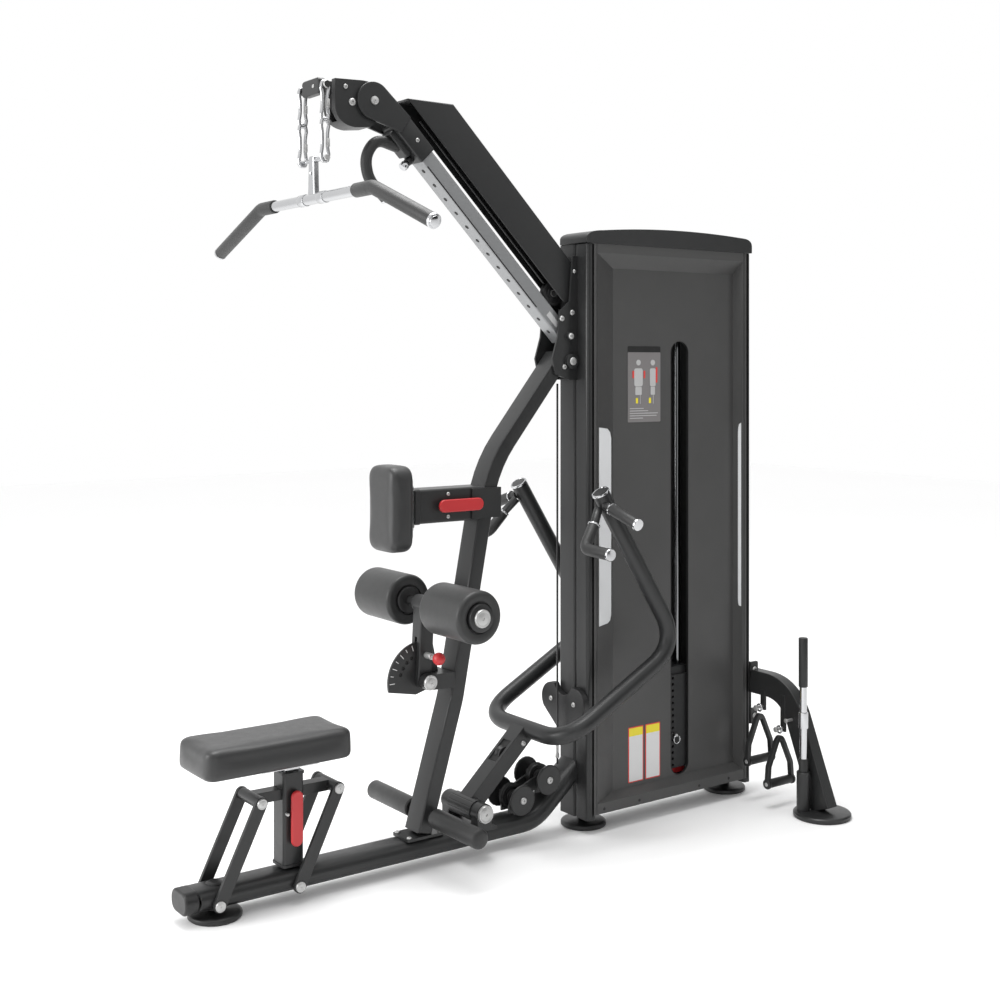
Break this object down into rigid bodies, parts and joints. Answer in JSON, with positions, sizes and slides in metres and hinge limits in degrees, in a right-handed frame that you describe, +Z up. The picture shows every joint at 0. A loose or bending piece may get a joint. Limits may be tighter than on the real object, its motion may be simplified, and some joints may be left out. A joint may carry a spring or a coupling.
{
  "type": "lat pulldown and seated row station",
  "caption": "Gym station with a weight tower, lat pulldown head on a sloping holed tube, swinging row arm, chest pad, thigh rollers, adjustable seat and a small accessory rack.",
  "frame": {"origin": "centre of the front foot's floor face, on the machine's centre plane", "axes": "+X along the base rail from the seat to the weight tower, +Y across the machine away from the shroud's front, +Z up"},
  "size_m": [2.188, 1.2752, 2.3218],
  "materials": {
    "coat": "satin dark charcoal powder coat",
    "panel": "satin dark charcoal powder coat on sheet",
    "chrome": "polished",
    "silver": "satin silver",
    "plastic": "matte black",
    "rubber": "matte black",
    "foam": "smooth black foam skin",
    "vinyl": "black vinyl, fine grain",
    "red": "smooth red",
    "iron": "black painted plates"
  },
  "bodies": {
    "frame": {"base_rail": "coat", "rail_end_cap": "plastic", "front_foot": "plastic", "tower_foot_left": "plastic", "tower_foot_right": "plastic", "front_post": "coat", "tower_frame": "coat", "crown_cap": "coat", "front_shroud": "panel", "rear_cover": "panel", "guide_rod_left": "chrome", "guide_rod_right": "chrome", "resting_plates": "iron", "stack_bumper": "red", "top_bracket": "coat", "adjust_tube": "silver", "cable_beam": "coat", "row_axle": "chrome", "row_bracket": "coat", "pulley_bracket": "coat", "column_pulley_cover": "plastic", "column_cable": "plastic", "quadrant_bracket": "coat", "foot_peg_near": "rubber", "foot_peg_far": "rubber", "rack_arm": "coat"},
    "stack": {"lifted_plates": "iron"},
    "selector": {"selector_pin": "chrome"},
    "upper_pulley": {"beam_pulley": "plastic"},
    "head": {"head_carriage": "coat", "pulley_housing": "coat"},
    "head_wheel": {"head_pulley": "plastic"},
    "head_pop_pin": {"head_pin": "chrome"},
    "pulldown_bar": {"cable_yoke": "coat", "snap_link_near": "chrome", "snap_link_far": "chrome", "lat_bar": "chrome", "lat_grip_near": "rubber", "lat_grip_far": "rubber"},
    "rowing_arm": {"row_arm": "coat", "row_handle_near": "rubber", "row_handle_far": "rubber"},
    "front_wheel": {"base_pulley_front": "plastic"},
    "rear_wheel": {"base_pulley_rear": "plastic"},
    "chest_support": {"chest_pad": "vinyl", "chest_tube": "chrome"},
    "chest_lock": {"chest_lever": "red"},
    "roller_arm": {"thigh_arm": "coat"},
    "roller_near": {"thigh_roller_near": "foam"},
    "roller_far": {"thigh_roller_far": "foam"},
    "roller_pop_pin": {"thigh_pin": "red"},
    "front_link_pair": {"front_links": "coat"},
    "rear_link_pair": {"rear_links": "coat"},
    "seat_frame": {"seat_carriage": "coat"},
    "seat": {"seat_cushion": "vinyl", "seat_post": "chrome"},
    "seat_lock": {"seat_lever": "red"},
    "stored_bar": {"storage_bar": "chrome"},
    "stored_handle_front": {"pull_handle_front": "rubber"},
    "stored_handle_rear": {"pull_handle_rear": "rubber"}
  },
  "joints": [
    {"name": "stack_lift", "type": "slide", "parent": "frame", "child": "stack", "axis": [0, 0, 1], "range_m": [0, 0.55]},
    {"name": "selector_pull", "type": "slide", "parent": "stack", "child": "selector", "axis": [0, -1, 0], "range_m": [0, 0.045]},
    {"name": "upper_pulley_spin", "type": "hinge", "parent": "frame", "child": "upper_pulley", "pos_m": [1.162, 0, 1.73], "axis": [0, 1, 0], "continuous": true},
    {"name": "head_slide", "type": "slide", "parent": "frame", "child": "head", "axis": [0.7071, 0, -0.7071], "range_m": [0, 0.28]},
    {"name": "head_wheel_spin", "type": "hinge", "parent": "head", "child": "head_wheel", "pos_m": [0.408, 0, 2.256], "axis": [0, 1, 0], "continuous": true},
    {"name": "head_pin_pull", "type": "slide", "parent": "head", "child": "head_pop_pin", "axis": [-0.7071, 0, -0.7071], "range_m": [0, 0.02], "stiffness_N_per_m": 600, "springref_m": -0.008},
    {"name": "lat_bar_pull", "type": "slide", "parent": "head", "child": "pulldown_bar", "axis": [0, 0, -1], "range_m": [0, 0.55]},
    {"name": "row_swing", "type": "hinge", "parent": "frame", "child": "rowing_arm", "pos_m": [0.831, 0, 0.145], "axis": [0, -1, 0], "range_deg": [0, 35]},
    {"name": "front_wheel_spin", "type": "hinge", "parent": "frame", "child": "front_wheel", "pos_m": [1, 0, 0.146], "axis": [0, 1, 0], "continuous": true},
    {"name": "rear_wheel_spin", "type": "hinge", "parent": "frame", "child": "rear_wheel", "pos_m": [1.104, 0, 0.192], "axis": [0, 1, 0], "continuous": true},
    {"name": "chest_slide", "type": "slide", "parent": "frame", "child": "chest_support", "axis": [-1, 0, 0], "range_m": [0, 0.12]},
    {"name": "chest_lever_pull", "type": "hinge", "parent": "frame", "child": "chest_lock", "pos_m": [0.828, -0.048, 1.078], "axis": [0, 0, 1], "range_deg": [0, 15]},
    {"name": "roller_swing", "type": "hinge", "parent": "frame", "child": "roller_arm", "pos_m": [0.664, 0, 0.556], "axis": [0, -1, 0], "range_deg": [0, 50]},
    {"name": "roller_near_spin", "type": "hinge", "parent": "roller_arm", "child": "roller_near", "pos_m": [0.676, 0, 0.782], "axis": [0, 1, 0], "continuous": true},
    {"name": "roller_far_spin", "type": "hinge", "parent": "roller_arm", "child": "roller_far", "pos_m": [0.676, 0, 0.782], "axis": [0, 1, 0], "continuous": true},
    {"name": "roller_pin_pull", "type": "slide", "parent": "roller_arm", "child": "roller_pop_pin", "axis": [0, -1, 0], "range_m": [0, 0.02], "stiffness_N_per_m": 600, "springref_m": -0.008},
    {"name": "seat_swing", "type": "hinge", "parent": "frame", "child": "front_link_pair", "pos_m": [-0.014, 0, 0.05], "axis": [0, 1, 0], "range_deg": [-50, 0]},
    {"name": "seat_level", "type": "hinge", "parent": "front_link_pair", "child": "seat_frame", "pos_m": [0.108, 0, 0.302], "axis": [0, 1, 0], "range_deg": [0, 50]},
    {"name": "rear_link_swing", "type": "hinge", "parent": "frame", "child": "rear_link_pair", "pos_m": [0.226, 0, 0.05], "axis": [0, 1, 0], "range_deg": [-50, 0]},
    {"name": "seat_height", "type": "slide", "parent": "seat_frame", "child": "seat", "axis": [0, 0, 1], "range_m": [0, 0.12]},
    {"name": "seat_lever_pull", "type": "hinge", "parent": "seat_frame", "child": "seat_lock", "pos_m": [0.224, -0.036, 0.286], "axis": [-1, 0, 0], "range_deg": [0, 15]},
    {"name": "bar_lift_off", "type": "slide", "parent": "frame", "child": "stored_bar", "axis": [0, 0, 1], "range_m": [0, 0.13]},
    {"name": "handle_front_swing", "type": "hinge", "parent": "frame", "child": "stored_handle_front", "pos_m": [1.952, -0.248, 0.262], "axis": [1, 0, 0], "range_deg": [-12, 12]},
    {"name": "handle_rear_swing", "type": "hinge", "parent": "frame", "child": "stored_handle_rear", "pos_m": [1.952, -0.156, 0.318], "axis": [1, 0, 0], "range_deg": [-12, 12]}
  ],
  "couplings": [
    {"joint": "lat_bar_pull", "follows": "stack_lift", "ratio": 1},
    {"joint": "seat_level", "follows": "seat_swing", "ratio": -1},
    {"joint": "rear_link_swing", "follows": "seat_swing", "ratio": 1}
  ]
}
